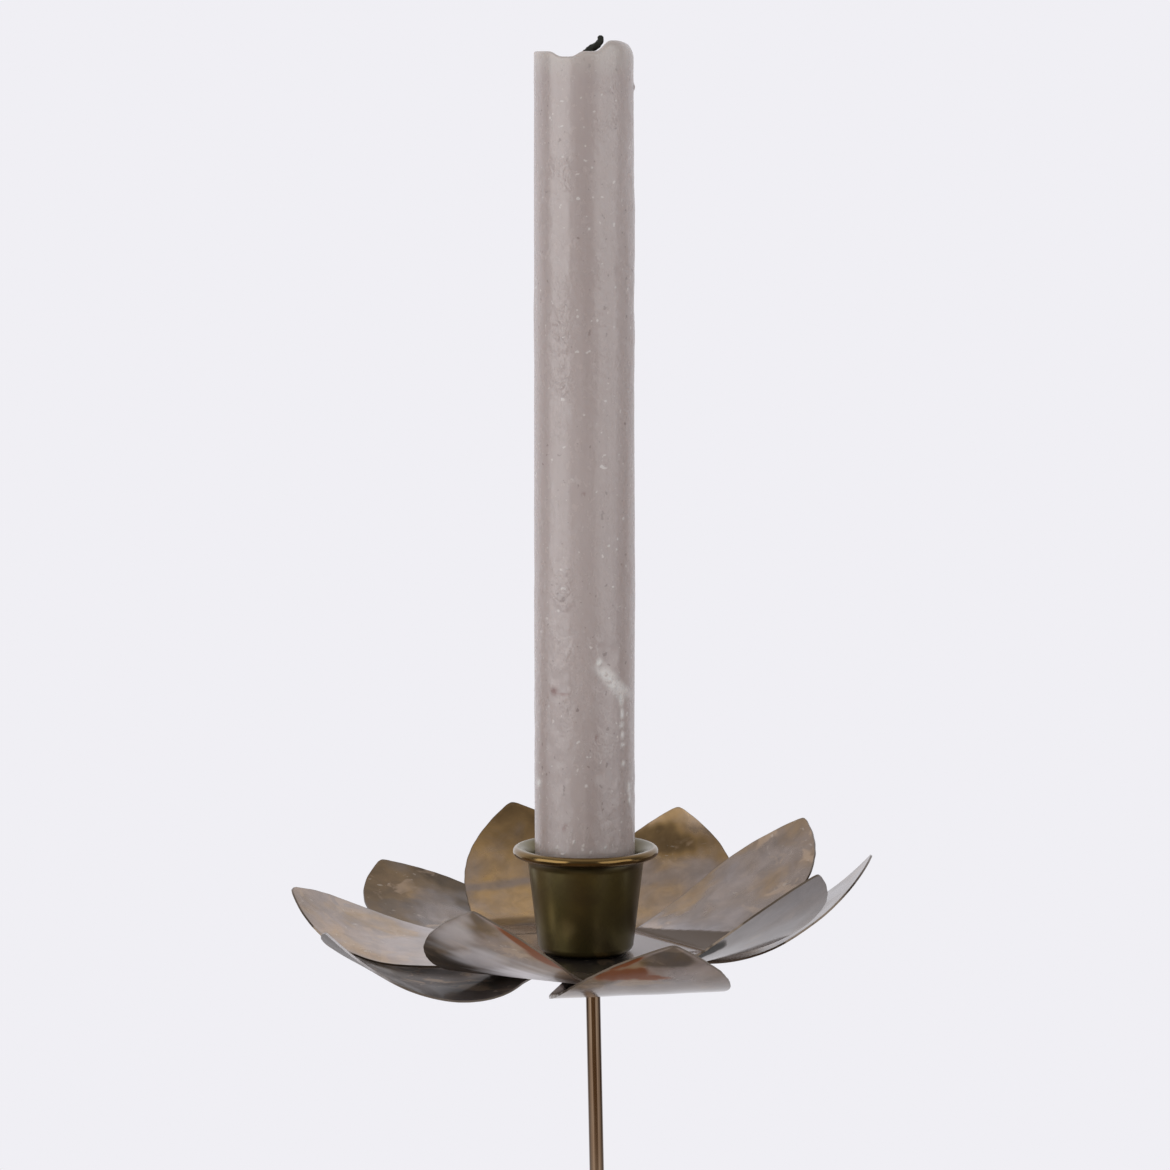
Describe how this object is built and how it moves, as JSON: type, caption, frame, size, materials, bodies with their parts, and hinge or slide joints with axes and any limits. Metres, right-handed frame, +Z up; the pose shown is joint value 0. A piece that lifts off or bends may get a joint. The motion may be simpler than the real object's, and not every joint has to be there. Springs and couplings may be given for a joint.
{
  "type": "taper candle holder",
  "caption": "Taper candle holder: a round foot, a thin leaning stem, a lotus flower of bent sheet petals in two layers, and a tapered cup with a rolled lip holding a straight candle.",
  "frame": {"origin": "on the table, under the middle of the round foot", "axes": "+Z up along the candle, +X to the right and +Y away from the viewer in the picture"},
  "size_m": [0.1296, 0.1254, 0.401],
  "materials": {
    "felt": "matte felt",
    "antique_brass": "polished, with a brown patina",
    "dark_brass": "satin olive-brown patina",
    "fastener_steel": "plain",
    "wax": "satin wax",
    "wick": "charred cotton"
  },
  "bodies": {
    "holder": {"foot_pad": "felt", "foot_disc": "antique_brass", "foot_nut": "fastener_steel", "foot_washer": "fastener_steel", "foot_collar": "antique_brass", "stem_rod": "antique_brass", "stem_boss": "antique_brass", "outer_petals": "antique_brass", "inner_petals": "antique_brass", "candle_cup": "dark_brass", "cup_washer": "fastener_steel", "cup_screw": "fastener_steel"},
    "candle": {"candle_wax": "wax", "candle_wick": "wick"}
  },
  "joints": [
    {"name": "candle_lift", "type": "slide", "parent": "holder", "child": "candle", "axis": [0, 0, 1], "range_m": [0, 0.04]}
  ]
}
